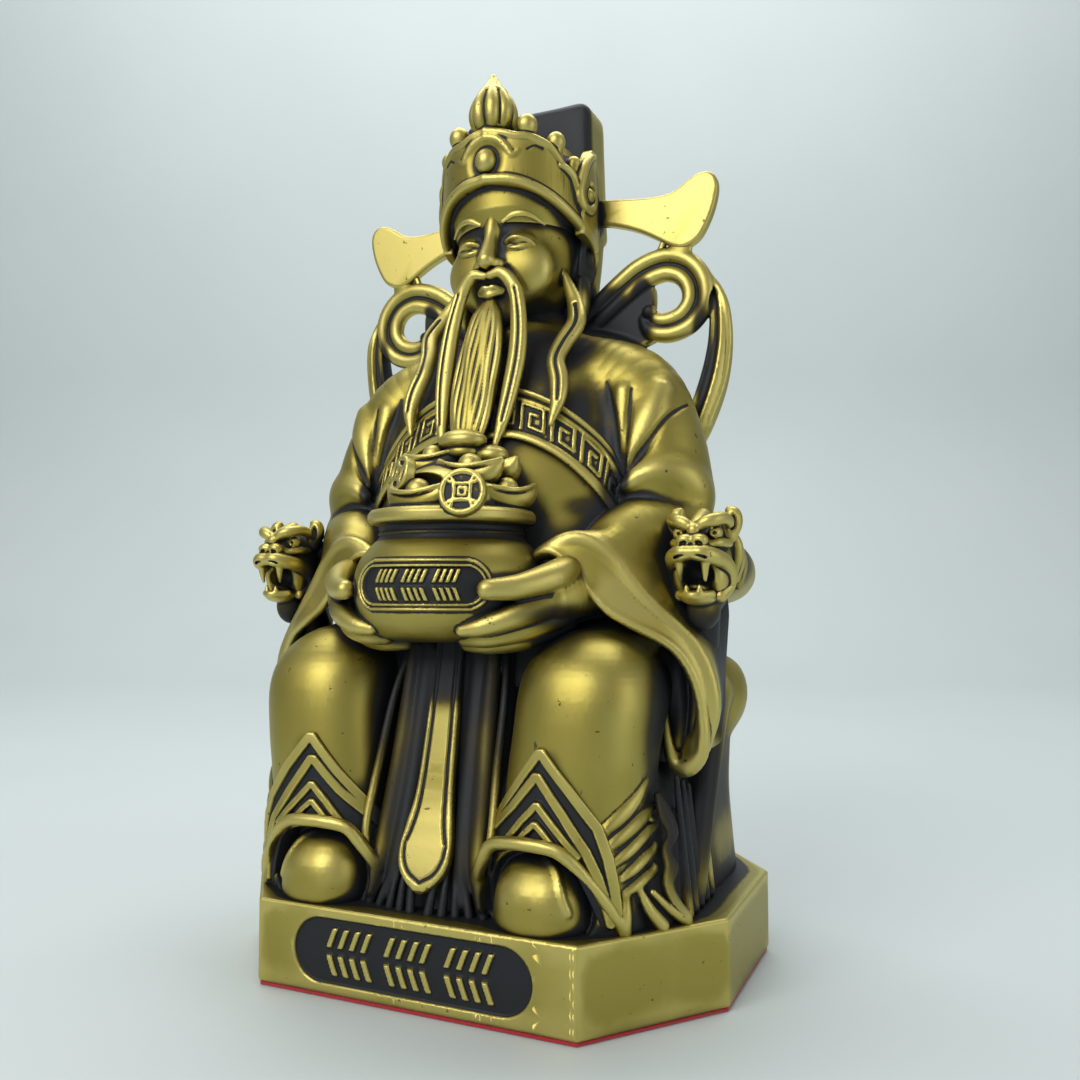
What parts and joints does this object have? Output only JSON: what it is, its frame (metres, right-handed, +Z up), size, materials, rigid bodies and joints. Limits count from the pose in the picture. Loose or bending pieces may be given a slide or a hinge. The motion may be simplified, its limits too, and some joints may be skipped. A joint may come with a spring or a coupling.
{
  "type": "god of wealth statue",
  "caption": "Cast seated god of wealth in robe and winged hat, holding a pot of ingots on a dragon-headed throne, on an octagonal felt-footed plinth.",
  "frame": {"origin": "centre of the underside, on the felt's lower face", "axes": "+Z up; the figure faces -Y and its left hand is towards +X"},
  "size_m": [0.1792, 0.1396, 0.3003],
  "materials": {
    "antique_brass": "satin, with dark patina left in the recesses",
    "red_felt": "matt felt"
  },
  "bodies": {
    "root": {"cast_statue": "antique_brass", "felt_pad": "red_felt"}
  },
  "joints": []
}
